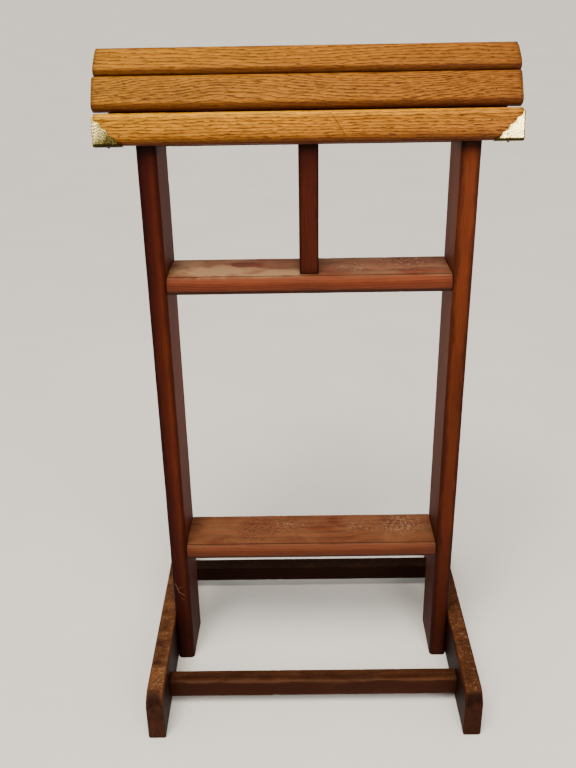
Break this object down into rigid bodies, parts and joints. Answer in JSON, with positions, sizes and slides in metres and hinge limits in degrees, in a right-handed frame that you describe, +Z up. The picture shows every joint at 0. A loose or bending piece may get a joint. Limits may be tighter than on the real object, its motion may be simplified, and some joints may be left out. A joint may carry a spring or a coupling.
{
  "type": "valet stand",
  "caption": "Free-standing wooden valet stand with an arched top of slats, upright boards, shelves, a centre divider and runner feet.",
  "frame": {"origin": "middle of the footprint on the floor", "axes": "+Z up, front towards -Y, +X to the right seen from the front; the slats run along X"},
  "size_m": [0.526, 0.434, 0.9243],
  "materials": {
    "dark_stained_pine": "dark reddish brown stain under satin varnish, worn",
    "red_stained_pine": "red brown stain under satin varnish, worn top faces",
    "golden_oak": "golden oak with open grain, satin varnish",
    "corner_brass": "stamped brass, slightly tarnished",
    "screw_steel": "plain steel wood screw, slotted head"
  },
  "bodies": {
    "root": {"centre_divider": "red_stained_pine", "divider_front_screw": "screw_steel", "divider_rear_screw": "screw_steel", "divider_top_screw": "screw_steel", "front_left_bottom_pin": "corner_brass", "front_left_corner_plate": "corner_brass", "front_left_end_pin": "corner_brass", "front_lower_slat": "golden_oak", "front_middle_slat": "golden_oak", "front_right_bottom_pin": "corner_brass", "front_right_corner_plate": "corner_brass", "front_right_end_pin": "corner_brass", "front_stretcher": "dark_stained_pine", "front_stretcher_left_screw": "screw_steel", "front_stretcher_right_screw": "screw_steel", "front_top_slat": "golden_oak", "left_crosspiece_front_screw": "screw_steel", "left_crosspiece_rear_screw": "screw_steel", "left_end_rib": "dark_stained_pine", "left_rib_screw": "screw_steel", "left_runner": "dark_stained_pine", "left_runner_front_screw": "screw_steel", "left_runner_rear_screw": "screw_steel", "left_upright": "dark_stained_pine", "lower_shelf": "red_stained_pine", "lower_shelf_left_front_screw": "screw_steel", "lower_shelf_left_rear_screw": "screw_steel", "lower_shelf_right_front_screw": "screw_steel", "lower_shelf_right_rear_screw": "screw_steel", "rear_left_bottom_pin": "corner_brass", "rear_left_corner_plate": "corner_brass", "rear_left_end_pin": "corner_brass", "rear_lower_slat": "golden_oak", "rear_middle_slat": "golden_oak", "rear_right_bottom_pin": "corner_brass", "rear_right_corner_plate": "corner_brass", "rear_right_end_pin": "corner_brass", "rear_stretcher": "dark_stained_pine", "rear_stretcher_left_screw": "screw_steel", "rear_stretcher_right_screw": "screw_steel", "rear_top_slat": "golden_oak", "right_crosspiece_front_screw": "screw_steel", "right_crosspiece_rear_screw": "screw_steel", "right_end_rib": "dark_stained_pine", "right_rib_screw": "screw_steel", "right_runner": "dark_stained_pine", "right_runner_front_screw": "screw_steel", "right_runner_rear_screw": "screw_steel", "right_upright": "dark_stained_pine", "top_crosspiece": "red_stained_pine", "upper_shelf": "red_stained_pine", "upper_shelf_left_front_screw": "screw_steel", "upper_shelf_left_rear_screw": "screw_steel", "upper_shelf_right_front_screw": "screw_steel", "upper_shelf_right_rear_screw": "screw_steel"}
  },
  "joints": []
}
